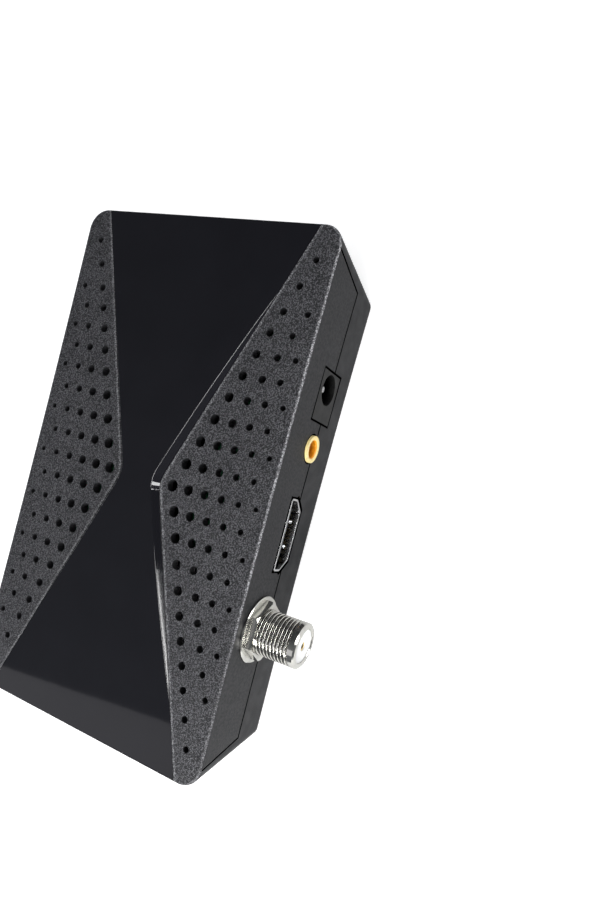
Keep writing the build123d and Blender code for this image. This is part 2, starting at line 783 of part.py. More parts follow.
av_body_low = board_height + seat_gap - av_height      # underside, from the jack's axis
with BuildPart() as av_jack_ring:
    with BuildSketch(on_av(-av_ring_proud)):
        Circle(av_ring_diameter / 2)
        Circle(av_bore / 2, mode=Mode.SUBTRACT)
    extrude(amount=av_ring_depth + av_ring_proud)
    mouth = av_jack_ring.faces().sort_by(Axis.Y)[-1].edges()
    chamfer(mouth.sort_by(SortBy.LENGTH)[0], av_mouth_chamfer)
av_jack_ring.part.label = "av_jack_ring"

with BuildPart() as av_jack_body:
    with BuildSketch(on_av(av_ring_depth)):
        Rectangle(av_body_width, -2 * av_body_low)
    extrude(amount=av_body_depth)
    with BuildSketch(on_av(av_ring_depth)):
        Circle(av_bore / 2)
    extrude(amount=av_body_bore_depth, mode=Mode.SUBTRACT)
av_jack_body.part.label = "av_jack_body"

with BuildPart() as av_contacts:
    tab_reach = av_body_width / 2 + av_tab_thick / 2
    for depth in (av_first_tab, av_second_tab):
        with BuildSketch(on_av(av_ring_depth + depth - av_tab_width / 2)):
            with Locations((tab_reach, av_body_low / 2), (-tab_reach, av_body_low / 2)):
                Rectangle(av_tab_thick, -av_body_low)
        extrude(amount=av_tab_width)
av_contacts.part.label = "av_contacts"

# ---------------------------------------------------------------- power jack
dc_face_depth = wall_inset(dc_x)
dc_bore_x = dc_x + dc_bore_offset


def on_dc(depth):
    """Plane square to the power jack's bore, at a depth behind its face."""
    plane = rear(dc_face_depth + depth)
    return plane.shift_origin(plane.from_local_coords((dc_bore_x, dc_height, 0)))


with BuildPart() as dc_jack_body:
    with BuildSketch(on_dc(0)):
        with Locations((-dc_bore_offset, 0)):
            Rectangle(dc_width, dc_tall)
    extrude(amount=dc_depth)
    with BuildSketch(on_dc(0)):
        Circle(dc_bore / 2)
    extrude(amount=dc_bore_depth, mode=Mode.SUBTRACT)
    # ears that carry the jack on the board, beside its notch
    with BuildSketch(on_dc(dc_ear_start)):
        with Locations((-dc_bore_offset, board_height + seat_gap + dc_ear_tall / 2 - dc_height)):
            with Locations((dc_width / 2, 0), (-dc_width / 2, 0)):
                Rectangle(2 * dc_ear_reach, dc_ear_tall)
    extrude(amount=dc_ear_depth)
    # channel that the sprung leaf moves in
    with BuildSketch(on_dc(dc_leaf_tip_depth - dc_channel_front)):
        with Locations((0, dc_bore / 4 + dc_channel_rise / 2)):
            Rectangle(dc_channel_width, dc_bore / 2 + dc_channel_rise)
    extrude(amount=dc_bore_depth - dc_leaf_tip_depth + dc_channel_front, mode=Mode.SUBTRACT)
dc_jack_body.part.label = "dc_jack_body"

with BuildPart() as dc_jack_pin:
    with BuildSketch(on_dc(dc_pin_set_back)):
        Circle(dc_pin_diameter / 2)
    extrude(amount=dc_bore_depth - dc_pin_set_back)
    chamfer(dc_jack_pin.faces().sort_by(Axis.Y)[-1].edges(), dc_pin_point)
dc_jack_pin.part.label = "dc_jack_pin"

with BuildPart() as dc_jack_leaf:
    leaf_tip_rise = dc_leaf_crest_rise + dc_leaf_tip_curl
    with BuildSketch(lengthwise(on_dc(0).origin)):
        with BuildLine():
            Polyline(
                (dc_leaf_root_depth, dc_leaf_root_rise),
                (dc_leaf_crest_depth, dc_leaf_crest_rise),
                (dc_leaf_tip_depth, leaf_tip_rise),
                (dc_leaf_tip_depth, leaf_tip_rise + dc_leaf_thick),
                (dc_leaf_crest_depth, dc_leaf_crest_rise + dc_leaf_thick),
                (dc_leaf_root_depth, dc_leaf_root_rise + dc_leaf_thick),
                close=True,
            )
        make_face()
    extrude(amount=dc_leaf_width / 2, both=True)
dc_jack_leaf.part.label = "dc_jack_leaf"

# ---------------------------------------------------------------- USB socket
usb_face_depth = wall_inset(usb_x)


def on_usb(depth):
    """Plane square to the USB socket's axis, at a depth behind its mouth."""
    plane = front(usb_face_depth + depth)
    return plane.shift_origin(plane.from_local_coords((usb_x, usb_height, 0)))


usb_inner_width = usb_width - 2 * usb_sheet
usb_inner_tall = usb_tall - 2 * usb_sheet
usb_tongue_y = usb_inner_tall / 2 - usb_tongue_drop - usb_tongue_thick / 2
with BuildPart() as usb_shell:
    with BuildSketch(on_usb(0)):
        RectangleRounded(usb_width, usb_tall, usb_corner)
        RectangleRounded(usb_inner_width, usb_inner_tall, usb_corner - usb_sheet, mode=Mode.SUBTRACT)
    extrude(amount=-usb_depth)
usb_shell.part.label = "usb_shell"

with BuildPart() as usb_tongue:
    with BuildSketch(on_usb(usb_depth - usb_back_block)):
        Rectangle(usb_inner_width - 2 * usb_block_gap, usb_inner_tall - fit_gap)
    extrude(amount=-usb_back_block)
    with BuildSketch(on_usb(usb_tongue_recess)):
        with Locations((0, usb_tongue_y)):
            Rectangle(usb_tongue_width, usb_tongue_thick)
    extrude(amount=-(usb_depth - usb_back_block - usb_tongue_recess))
usb_tongue.part.label = "usb_tongue"

with BuildPart() as usb_contacts:
    with BuildSketch(on_usb(usb_contact_start)):
        with Locations((0, usb_tongue_y - usb_tongue_thick / 2 - usb_contact_thick / 2)):
            with GridLocations(usb_contact_pitch, 1, 4, 1):
                Rectangle(usb_contact_width, usb_contact_thick)
    extrude(amount=-(usb_depth - usb_back_block - usb_contact_start))
usb_contacts.part.label = "usb_contacts"

# ---------------------------------------------------------------- window and display
window_back = wall_inset(0) + window_thick      # ledge that the window rests on
with BuildPart() as front_window:
    with BuildSketch(front(window_back)):
        with Locations((window_x, window_height)):
            Rectangle(window_length - 2 * fit_gap, window_tall - 2 * fit_gap)
    extrude(amount=window_thick - fit_gap)
front_window.part.label = "front_window"

board_front = (case_width - board_width) / 2    # front edge of the board, from the front face
display_face = board_front + display_set_back
display_tall = window_height + digit_tall / 2 + display_margin - board_height - seat_gap
receiver_face = board_front + receiver_set_back


def upright(name, x, width, tall, depth, face):
    """Block that stands on the board's front edge and faces the window."""
    with BuildPart() as block:
        with BuildSketch(front(face)):
            with Locations((x, board_height + seat_gap + tall / 2)):
                Rectangle(width, tall)
        extrude(amount=-depth)
    block.part.label = name
    return block.part


display_case = upright("display_case", display_x, display_length, display_tall, display_depth, display_face)
with BuildPart() as display_digits:
    with BuildSketch(front(display_face)):
        with Locations((display_x, window_height)):
            with GridLocations(digit_pitch, 1, digit_count, 1):
                Rectangle(digit_width, digit_tall)
                with Locations((0, digit_tall / 4), (0, -digit_tall / 4)):
                    Rectangle(digit_width - 2 * digit_stroke, digit_tall / 2 - 1.5 * digit_stroke,
                              mode=Mode.SUBTRACT)
    extrude(amount=digit_thick)
display_digits.part.label = "display_digits"

with BuildPart() as ir_receiver:
    add(upright("ir_block", receiver_x, receiver_width, receiver_tall, receiver_depth, receiver_face))
    with BuildSketch(level(board_height + seat_gap)):
        with Locations((receiver_x, receiver_face - case_width / 2)):
            Circle(lens_radius)
    extrude(amount=receiver_tall)
ir_receiver.part.label = "ir_receiver"

with BuildPart() as standby_led:
    with BuildSketch(level(board_height + seat_gap)):
        with Locations((led_x, board_front + led_set_back - case_width / 2)):
            Circle(led_diameter / 2)
    extrude(amount=led_tall)
    chamfer(standby_led.faces().sort_by(Axis.Z)[-1].edges(), led_dome)
standby_led.part.label = "standby_led"

# ---------------------------------------------------------------- parts on the board
main_chip_size = 17.0
main_chip_tall = 1.2
main_chip_x = -8.0
main_chip_y = -2.0
pad_tall = 0.4
sink_size = 20.0
sink_base = 1.6
sink_fin_tall = 5.0
sink_fins = 7
sink_fin_thick = 1.0
memory_length = 8.0
memory_width = 13.0
memory_tall = 1.1
memory_x = 11.0
memory_y = -6.0
flash_length = 5.0
flash_width = 6.0
flash_tall = 1.6
flash_x = -27.0
flash_y = -8.0
crystal_length = 11.0
crystal_width = 4.6
crystal_tall = 3.4
crystal_x = 11.0
crystal_y = -15.0
coil_size = 6.0
coil_tall = 3.2
coil_spots = [(-31.0, 6.0), (-23.5, 6.0), (-34.0, -2.0)]
cap_diameter = 6.3
cap_tall = 7.6
cap_spots = [(-31.0, 14.5), (-34.0, -10.0), (35.0, -6.0), (35.0, 2.0)]
regulator_length = 4.0
regulator_width = 6.5
regulator_tall = 1.7
regulator_spots = [(-23.0, -1.0), (-23.0, -14.5), (24.0, -8.0)]
diode_length = 4.4
diode_width = 2.6
diode_tall = 2.2
diode_spots = [(-14.5, 12.5), (18.5, -3.0), (29.0, -8.5)]
chip_groups = [(24.5, 3.0), (-8.0, -16.5)]
chip_columns = 5
chip_rows = 4
chip_pitch_x = 3.0
chip_pitch_y = 2.4
chip_length = 1.6
chip_width = 0.8
chip_tall = 0.7
pad_size = 13.6

on_board = board_height + seat_gap


def block(length, width, tall, spots, base=on_board):
    """Plain moulded packages standing on the board at the given spots."""
    with BuildPart() as packages:
        with BuildSketch(level(base)):
            with Locations(*spots):
                Rectangle(length, width)
        extrude(amount=tall)
    return packages.part


chip_place = [(main_chip_x, main_chip_y)]
main_chip = block(main_chip_size, main_chip_size, main_chip_tall, chip_place)
main_chip.label = "main_chip"
heat_pad = block(pad_size, pad_size, pad_tall, chip_place, on_board + main_chip_tall)
heat_pad.label = "heat_pad"

sink_height = on_board + main_chip_tall + pad_tall
with BuildPart() as heat_sink:
    with BuildSketch(level(sink_height)):
        with Locations(*chip_place):
            Rectangle(sink_size, sink_size)
    extrude(amount=sink_base)
    with BuildSketch(level(sink_height + sink_base)):
        with Locations(*chip_place):
            with GridLocations((sink_size - sink_fin_thick) / (sink_fins - 1), 1, sink_fins, 1):
                Rectangle(sink_fin_thick, sink_size)
    extrude(amount=sink_fin_tall)
heat_sink.part.label = "heat_sink"

memory_chip = block(memory_length, memory_width, memory_tall, [(memory_x, memory_y)])
memory_chip.label = "memory_chip"
flash_chip = block(flash_length, flash_width, flash_tall, [(flash_x, flash_y)])
flash_chip.label = "flash_chip"
power_inductors = block(coil_size, coil_size, coil_tall, coil_spots)
power_inductors.label = "power_inductors"
regulator_chips = block(regulator_length, regulator_width, regulator_tall, regulator_spots)
regulator_chips.label = "regulator_chips"
rectifier_diodes = block(diode_length, diode_width, diode_tall, diode_spots)
rectifier_diodes.label = "rectifier_diodes"

with BuildPart() as crystal:
    with BuildSketch(level(on_board)):
        with Locations((crystal_x, crystal_y)):
            SlotOverall(crystal_length, crystal_width)
    extrude(amount=crystal_tall)
crystal.part.label = "crystal"

with BuildPart() as electrolytic_caps:
    with BuildSketch(level(on_board)):
        with Locations(*cap_spots):
            Circle(cap_diameter / 2)
    extrude(amount=cap_tall)
electrolytic_caps.part.label = "electrolytic_caps"

with BuildPart() as chip_parts:
    with BuildSketch(level(on_board)):
        with Locations(*chip_groups):
            with GridLocations(chip_pitch_x, chip_pitch_y, chip_columns, chip_rows):
                Rectangle(chip_length, chip_width)
    extrude(amount=chip_tall)
chip_parts.part.label = "chip_parts"

# ---------------------------------------------------------------- write one file per piece
pieces = [
    bottom_tray, top_cover, gloss_panel, rubber_feet, case_screws, circuit_board, board_screws,
    f_barrel, f_insulator, f_centre_contact, f_washer, f_nut, tuner_can, tuner_lid,
    hdmi_shell, hdmi_tongue, hdmi_contacts, av_jack_ring, av_jack_body, av_contacts,
    dc_jack_body, dc_jack_pin, dc_jack_leaf, usb_shell, usb_tongue, usb_contacts,
    front_window, display_digits, ir_receiver, standby_led, heat_sink, crystal,
    electrolytic_caps, chip_parts,
]
solids = [piece.part for piece in pieces]
solids += [display_case, main_chip, heat_pad, memory_chip, flash_chip]
solids += [power_inductors, regulator_chips, rectifier_diodes]

os.makedirs("parts", exist_ok=True)
for solid in solids:
    export_step(solid, "parts/" + solid.label + ".step")
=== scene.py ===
import json
import math

import bpy
import numpy as np
from mathutils import Matrix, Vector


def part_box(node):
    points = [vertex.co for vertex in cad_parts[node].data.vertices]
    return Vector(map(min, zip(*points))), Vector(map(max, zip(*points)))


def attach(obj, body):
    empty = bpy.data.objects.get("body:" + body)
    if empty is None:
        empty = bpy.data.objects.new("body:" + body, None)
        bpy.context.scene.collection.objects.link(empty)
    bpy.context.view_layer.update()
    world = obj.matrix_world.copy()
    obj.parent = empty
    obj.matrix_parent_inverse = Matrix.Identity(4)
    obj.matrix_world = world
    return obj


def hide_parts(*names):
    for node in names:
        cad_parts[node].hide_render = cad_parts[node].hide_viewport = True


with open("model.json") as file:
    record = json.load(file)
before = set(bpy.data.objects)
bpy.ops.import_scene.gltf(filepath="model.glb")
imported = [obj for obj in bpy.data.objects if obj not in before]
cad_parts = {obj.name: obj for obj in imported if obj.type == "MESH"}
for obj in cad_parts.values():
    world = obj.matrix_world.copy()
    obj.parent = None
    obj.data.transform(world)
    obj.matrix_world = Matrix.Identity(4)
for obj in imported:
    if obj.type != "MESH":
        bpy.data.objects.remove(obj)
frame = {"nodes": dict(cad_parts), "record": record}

MM = 0.001                 # one millimetre; sizes in node materials are in millimetres
TURN = 2 * math.pi
CREVICE_RAYS = 8
EDGE_RAYS = 6
EDGE = 0.08                # how far sharp edges look rounded
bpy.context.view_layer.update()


def extent(node):
    """Lowest and highest corner of a node, in metres."""
    low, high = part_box(node)
    return np.array(low), np.array(high)


# ------------------------------------------------------------------ node material helpers
RANGE_SOCKETS = ("From Min", "From Max", "To Min", "To Max")
MIX_FACTOR, MIX_A, MIX_B, MIX_COLOUR = 0, 6, 7, 2      # a mix node's sockets for colours


class Shader:
    """A small builder round one principled material, with the part's coordinates in millimetres."""

    def __init__(self, name):
        self.material = bpy.data.materials.new(name)
        self.material.use_nodes = True
        self.tree = self.material.node_tree
        self.bsdf = self.tree.nodes["Principled BSDF"]
        coords = self.node("ShaderNodeTexCoord")
        self.normal = coords.outputs["Normal"]
        scale = self.node("ShaderNodeVectorMath")
        scale.operation = "SCALE"
        self.link(coords.outputs["Object"], scale.inputs[0])
        scale.inputs["Scale"].default_value = 1 / MM
        self.place = scale.outputs[0]

    def node(self, kind):
        return self.tree.nodes.new(kind)

    def link(self, source, target):
        self.tree.links.new(source, target)

    def set(self, socket, value):
        """A constant or another node's output goes into a socket."""
        if hasattr(value, "is_output"):
            self.link(value, socket)
        elif isinstance(value, tuple) and len(value) == 3 and socket.type == "RGBA":
            socket.default_value = (*value, 1.0)
        else:
            socket.default_value = value

    def noise(self, size, detail=2.0, rough=0.5, place=None):
        """Noise from 0 to 1 whose blotches are about size millimetres across."""
        node = self.node("ShaderNodeTexNoise")
        self.link(place or self.place, node.inputs["Vector"])
        node.inputs["Scale"].default_value = 1.0 / size
        node.inputs["Detail"].default_value = detail
        node.inputs["Roughness"].default_value = rough
        return node.outputs["Fac"]

    def cells(self, size, out="Distance"):
        """Cells of about size millimetres: distance from each middle, or a random Color each."""
        node = self.node("ShaderNodeTexVoronoi")
        self.link(self.place, node.inputs["Vector"])
        node.inputs["Scale"].default_value = 1.0 / size
        return node.outputs[out]

    def ramp(self, value, low, high, start=0.0, end=1.0):
        """Smooth step of a value from low..high onto start..end."""
        node = self.node("ShaderNodeMapRange")
        node.interpolation_type = "SMOOTHSTEP"
        for name, number in zip(RANGE_SOCKETS, (low, high, start, end)):
            node.inputs[name].default_value = number
        self.set(node.inputs["Value"], value)
        return node.outputs["Result"]

    def math(self, operation, a, b=0.0):
        node = self.node("ShaderNodeMath")
        node.operation = operation
        self.set(node.inputs[0], a)
        self.set(node.inputs[1], b)
        return node.outputs[0]

    def minus(self, a, b):
        return self.math("SUBTRACT", a, b)

    def larger(self, a, b):
        return self.math("MAXIMUM", a, b)

    def amount(self, value):
        """The value without its sign."""
        return self.math("ABSOLUTE", value)

    def product(self, first, *others):
        for other in others:
            first = self.math("MULTIPLY", first, other)
        return first

    def hypotenuse(self, a, b):
        return self.math("SQRT", self.math("ADD", self.product(a, a), self.product(b, b)))

    def mix(self, fac, a, b):
        """Colour between a and b."""
        node = self.node("ShaderNodeMix")
        node.data_type = "RGBA"
        self.set(node.inputs[MIX_FACTOR], fac)
        self.set(node.inputs[MIX_A], a)
        self.set(node.inputs[MIX_B], b)
        return node.outputs[MIX_COLOUR]

    def axis(self, vector, name):
        node = self.node("ShaderNodeSeparateXYZ")
        self.link(vector, node.inputs[0])
        return node.outputs[name]

    def stretch(self, x, y, z):
        """Object coordinates in millimetres, divided by these along each axis."""
        node = self.node("ShaderNodeVectorMath")
        node.operation = "DIVIDE"
        self.link(self.place, node.inputs[0])
        node.inputs[1].default_value = (x, y, z)
        return node.outputs[0]

    def bump(self, height, depth, strength=1.0, under=None):
        """Bump of a depth in millimetres, over another normal if one is given."""
        node = self.node("ShaderNodeBump")
        node.inputs["Distance"].default_value = depth * MM
        self.set(node.inputs["Strength"], strength)
        self.set(node.inputs["Height"], height)
        if under is not None:
            self.link(under, node.inputs["Normal"])
        return node.outputs["Normal"]

    def crevice(self, reach):
        """1 in the open and towards 0 in gaps narrower than reach millimetres."""
        node = self.node("ShaderNodeAmbientOcclusion")
        node.samples = CREVICE_RAYS
        node.inputs["Distance"].default_value = reach * MM
        return node.outputs["AO"]

    def times(self, colour, factor):
        """Colour darkened by a grey factor."""
        node = self.node("ShaderNodeVectorMath")
        node.operation = "SCALE"
        self.set(node.inputs[0], colour)
        self.set(node.inputs["Scale"], factor)
        return node.outputs[0]

    def soft_edges(self, radius):
        """Normal that rounds sharp edges over a radius in millimetres."""
        node = self.node("ShaderNodeBevel")
        node.samples = EDGE_RAYS
        node.inputs["Radius"].default_value = radius * MM
        return node.outputs["Normal"]

    def finish(self, colour, rough, normal, **extra):
        """The material, with its inputs set; an extra's name is its socket's, joined by _."""
        self.set(self.bsdf.inputs["Base Color"], colour)
        self.set(self.bsdf.inputs["Roughness"], rough)
        self.link(normal, self.bsdf.inputs["Normal"])
        for name, value in extra.items():
            self.set(self.bsdf.inputs[name.replace("_", " ")], value)
        return self.material


def offset_from(s, point):
    """X and Z distances from a point on a rear-wall part, in millimetres."""
    node = s.node("ShaderNodeVectorMath")
    node.operation = "SUBTRACT"
    s.link(s.place, node.inputs[0])
    node.inputs[1].default_value = tuple(float(v) / MM for v in point)
    return s.axis(node.outputs[0], "X"), s.axis(node.outputs[0], "Z")


def tint(colour, factor):
    """Colour made paler or darker by a factor, and never over white."""
    return tuple(min(1.0, c * factor) for c in colour)


def plain(name, colour, rough, vary=0.12, blotch=3.0, grain=0.3, depth=0.01, hollow=0):
    """Moulded or machined stock: slow colour drift, uneven gloss, fine grain, softened edges.

    With hollow given, painted shade darkens gaps narrower than that many millimetres.
    """
    gloss_blotch, uneven, hollow_shine = 0.6 * blotch, 0.12, 0.25
    s = Shader(name)
    extra = {}
    drift = s.noise(blotch, 3.0)
    fine = s.noise(grain, 2.0)
    shade = s.mix(drift, tint(colour, 1 - vary), tint(colour, 1 + vary))
    if hollow:
        # painted shade in the hollows darkens colour and shine
        outside_painted_shade = s.ramp(s.crevice(hollow), 0.35, 0.85)
        shade = s.times(shade, outside_painted_shade)
        extra["Specular_IOR_Level"] = s.product(outside_painted_shade, hollow_shine)
    least, most = rough * (1 - uneven), min(1.0, rough * (1 + uneven))
    gloss = s.ramp(s.noise(gloss_blotch, 4.0), 0.3, 0.7, least, most)
    return s.finish(shade, gloss, s.bump(fine, depth, 1.0, s.soft_edges(EDGE)), **extra)


def metal(name, colour, rough, brush=None, grain=0.2, depth=0.004, edge=EDGE):
    """Plated metal: faint tarnish, painted shade in crevices, uneven gloss, brushing along an axis
    where brush is given.
    """
    spot, tarnish, painted_shade_reach = 1.6, 0.12, 2.0
    s = Shader(name)
    spots = s.ramp(s.noise(spot, 4.0), 0.45, 0.8)
    shade = s.mix(spots, tint(colour, 1 + tarnish / 2), tint(colour, 1 - tarnish))
    # painted shade darkens the metal in crevices and between the threads
    shade = s.times(shade, s.ramp(s.crevice(painted_shade_reach), 0.25, 0.80, 0.25, 1.0))
    lines = s.noise(grain, 3.0, 0.6, s.stretch(*brush) if brush else None)
    gloss = s.ramp(lines, 0.3, 0.7, rough * 0.75, rough * 1.3)
    under = s.soft_edges(edge) if edge else None
    return s.finish(shade, gloss, s.bump(lines, depth, 1.0, under), Metallic=1.0)


# ------------------------------------------------------------------ case mouldings, millimetres
panel_low, panel_high = extent("gloss_panel")
mid_y = (panel_low[1] + panel_high[1]) / 2 / MM
half_length = (panel_high[0] - panel_low[0]) / 2 / MM
half_end = (panel_high[1] - panel_low[1]) / 2 / MM
half_waist = 5.1           # half width of the panel at its waist
waist_ease = 1.1           # how far the rounding of the waist reaches along the case
lip_width = 0.55           # polished lip of the cover round the panel
split_gap = 0.3            # open groove between cover and tray
skirt_end = 48.18          # where the parting line turns up along the tray's corner
end_slope = 0.2765         # the raked ends lean out by this much per unit of height
jack_ears = 1.4            # the power jack's body is this much wider than its face, each side
mouth_slant = (0.776, 0.631)   # across and down, square to the cut corners of the HDMI mouth
mouth_slant_top = 0.175    # those corners start this far over the mouth's middle
mouth_shadow_droop = 0.60         # the painted shadow round the mouth is this much wider along its lower side
seam_shade_fade = (0.18, 0.32)   # a seam's painted shade goes from dark to clear at these distances from its middle
socket_shadow_fade = (0.36, 0.52)    # a socket's painted shadow does at these distances from the socket
ring_shadow_fade = (0.25, 0.50)   # and the painted shadow round the jack ring at these
face_lean = (0.35, 0.75)   # the normal's height where a wall turns into the upper face

# the darkest and palest that each finish drifts between
WALL = ((0.018, 0.018, 0.0195), (0.025, 0.025, 0.027))
VALLEY = ((0.011, 0.011, 0.013), (0.018, 0.018, 0.020))
CREST = ((0.11, 0.11, 0.12), (0.155, 0.155, 0.167))
# painted highlight for the rim of the upper face and the lip round the panel
PAINTED_RIM_HIGHLIGHT = ((0.08, 0.08, 0.085), (0.48, 0.48, 0.50))
PIANO = ((0.006, 0.006, 0.008), (0.010, 0.010, 0.013))
SOLDER_MASK = ((0.012, 0.085, 0.035), (0.035, 0.17, 0.07))
SMOKE = ((0.020, 0.014, 0.014), (0.028, 0.019, 0.018))
RING_FACE = ((0.93, 0.74, 0.30), (0.97, 0.80, 0.38))
RING_BORE_SHADE = ((0.80, 0.30, 0.012), (0.86, 0.36, 0.02))
RED_LAMP = ((0.42, 0.03, 0.025), (0.55, 0.05, 0.04))


def seat_lip(s):
    """1 on the narrow lip of the cover that follows the hourglass panel, 0 elsewhere."""
    slope = (half_end - half_waist) / half_length
    across = s.amount(s.minus(s.axis(s.place, "Y"), mid_y))
    bent = s.hypotenuse(s.axis(s.place, "X"), waist_ease)
    edge = s.math("ADD", s.product(bent, slope), half_waist)
    away = s.product(s.minus(across, edge), 1 / math.hypot(1, slope))
    return s.ramp(away, lip_width * 1.3, lip_width * 0.7)


def wall_grey(s):
    """Dark grey moulding of the walls, drifting slowly."""
    return s.mix(s.noise(5.0, 3.0), *WALL)


def painted_gap_shade(s, colour):
    """Colour darkened by painted shade in holes and narrow gaps."""
    return s.times(colour, s.ramp(s.crevice(0.9), 0.35, 0.75))


def painted_socket_shadow(s, node, ears=0.0, slanted=False):
    """0 in a painted shadow line round a socket in the rear wall and inside it, 1 further out."""
    low, high = extent(node)
    x, z = offset_from(s, (low + high) / 2)
    half_x, _, half_z = (float(v) for v in (high - low) / 2 / MM)
    over_x = s.minus(s.amount(x), half_x - ears)
    over = s.larger(over_x, s.minus(s.amount(z), half_z))
    if slanted:
        across, down = mouth_slant
        fall = s.product(s.minus(z, mouth_slant_top), down)
        over = s.larger(over, s.minus(s.product(over_x, across), fall))
        # painted shadow: the dark line is wider along the mouth's lower side, where the shadow
        # falls
        over = s.minus(over, s.ramp(z, -0.6, 0.6, mouth_shadow_droop, 0.0))
    return s.ramp(over, *socket_shadow_fade)


def painted_joint_shade(s):
    """0 in the painted shade along the open joints of the long walls, 1 elsewhere.

    The parting line runs along both walls and turns up at the tray's corners. The painted shadows
    round the sockets are on the rear wall alone.
    """
    cover_low, _ = extent("top_cover")
    _, over_split = offset_from(s, (0, 0, cover_low[2] - split_gap / 2 * MM))
    past = s.minus(s.amount(s.axis(s.place, "X")), skirt_end)
    past = s.minus(past, s.product(over_split, end_slope))
    off_skirt = s.larger(past, s.product(over_split, -1.0))
    seam = s.ramp(s.amount(off_skirt), *seam_shade_fade)
    # painted shadow in a ring round the yellow jack ring
    low, high = extent("av_jack_ring")
    off_ring = s.minus(s.hypotenuse(*offset_from(s, (low + high) / 2)),
                       float(high[0] - low[0]) / 2 / MM)
    sockets = s.product(
        painted_socket_shadow(s, "dc_jack_body", ears=jack_ears),
        painted_socket_shadow(s, "hdmi_shell", slanted=True),
        s.ramp(off_ring, *ring_shadow_fade),
    )
    front = s.ramp(s.axis(s.place, "Y"), 5.0, 0.0)
    return s.product(seam, s.larger(sockets, front))


def eroded_cover():
    """Spark-eroded dark grey moulding: coarse sparkle on the upper face, fine satin on walls."""
    sparkle, crumb, relief = 0.34, 0.26, 0.10
    s = Shader("cover_plastic")
    lean = s.axis(s.normal, "Z")
    up = s.ramp(lean, *face_lean)
    pits = s.cells(sparkle)
    lit = s.axis(s.cells(sparkle, "Color"), "X")
    grains = s.product(s.ramp(lit, 0.40, 0.80), s.ramp(pits, 0.60, 0.20))
    crumbs = s.ramp(s.noise(crumb, 1.0), 0.50, 0.64)
    crest = s.larger(grains, s.product(crumbs, 0.75))
    drift = s.noise(7.0, 2.0)
    face = s.mix(crest, s.mix(drift, *VALLEY), s.mix(drift, *CREST))
    # painted shade along the joints and round the sockets darkens the walls
    clear = painted_joint_shade(s)
    side = s.times(wall_grey(s), clear)
    # painted highlight on the rim of the upper face and on the lip round the panel, the rim's
    # weakest at +X
    rim = s.product(
        s.ramp(lean, 0.20, 0.50),
        s.ramp(lean, 0.985, 0.90),
        s.ramp(s.axis(s.place, "X"), 10.0, 34.0, 1.0, 0.3),
    )
    painted_highlights = s.larger(rim, s.product(seat_lip(s), up, 0.55))
    colour = s.mix(painted_highlights, s.mix(up, side, face), s.mix(crest, *PAINTED_RIM_HIGHLIGHT))
    rough = s.ramp(s.noise(0.5, 2.0), 0.2, 0.8, 0.36, 0.56)
    height = s.math("ADD", crest, s.product(s.noise(0.2, 2.0), 0.35))
    coarse = s.ramp(lean, *face_lean, 0.08, 0.8)
    rough_face = s.bump(height, relief, coarse, s.soft_edges(0.2))
    shine = s.product(s.ramp(up, 0.0, 1.0, 0.22, 0.5), s.larger(clear, up))
    return s.finish(painted_gap_shade(s, colour), rough, rough_face, Specular_IOR_Level=shine)


def satin_tray():
    """Satin dark grey moulding with a very fine grain and faint polish at handled places."""
    s = Shader("tray_plastic")
    # painted shade along the joints and round the sockets darkens the walls
    clear = painted_joint_shade(s)
    colour = painted_gap_shade(s, s.times(wall_grey(s), clear))
    rough = s.ramp(s.noise(3.0, 4.0), 0.3, 0.7, 0.40, 0.52)
    grain = s.bump(s.noise(0.16, 2.0), 0.02, 0.6, s.soft_edges(0.12))
    return s.finish(colour, rough, grain, Specular_IOR_Level=s.product(clear, 0.22))


def piano_panel():
    """Polished black plate: deep base, hard clear gloss, hairline polishing and a slow ripple."""
    s = Shader("panel_gloss")
    colour = s.mix(s.noise(12.0, 3.0), *PIANO)
    hair = s.noise(0.08, 2.0, 0.6, s.stretch(12.0, 1.0, 1.0))
    rough = s.ramp(hair, 0.45, 0.75, 0.035, 0.075)
    # what lies flat reflects as one plane, and everything else has eased edges
    flat = s.ramp(s.axis(s.normal, "Z"), 0.985, 0.995)
    sweep = s.mix(flat, s.soft_edges(0.15), (0.0, 0.0, 1.0))
    ripple = s.bump(s.noise(9.0, 2.0), 0.02, 0.25, sweep)
    shiny = s.finish(colour, rough, ripple, Coat_Weight=0.4, Coat_Roughness=0.03)
    s.link(ripple, s.bsdf.inputs["Coat Normal"])
    return shiny


def laminate():
    """Green solder mask with the copper tracks showing through as paler lines."""
    s = Shader("board_laminate")
    tracks = s.node("ShaderNodeTexBrick")
    s.link(s.place, tracks.inputs["Vector"])
    tracks.inputs["Scale"].default_value = 0.35
    tracks.inputs["Mortar Size"].default_value = 0.02
    mask = s.ramp(s.noise(2.2, 2.0), 0.45, 0.55)
    lines = s.product(tracks.outputs["Fac"], mask)
    colour = s.mix(lines, *SOLDER_MASK)
    return s.finish(colour, 0.32, s.bump(lines, 0.04), Coat_Weight=0.3)


def smoked():
    """Smoked window: dark, clear, with a faint moulding ripple."""
    s = Shader("window_smoke")
    ripple = s.bump(s.noise(6.0, 2.0), 0.02, 0.4, s.soft_edges(0.15))
    colour = s.mix(s.noise(8.0, 2.0), *SMOKE)
    return s.finish(colour, 0.05, ripple, Transmission_Weight=0.35, IOR=1.49)


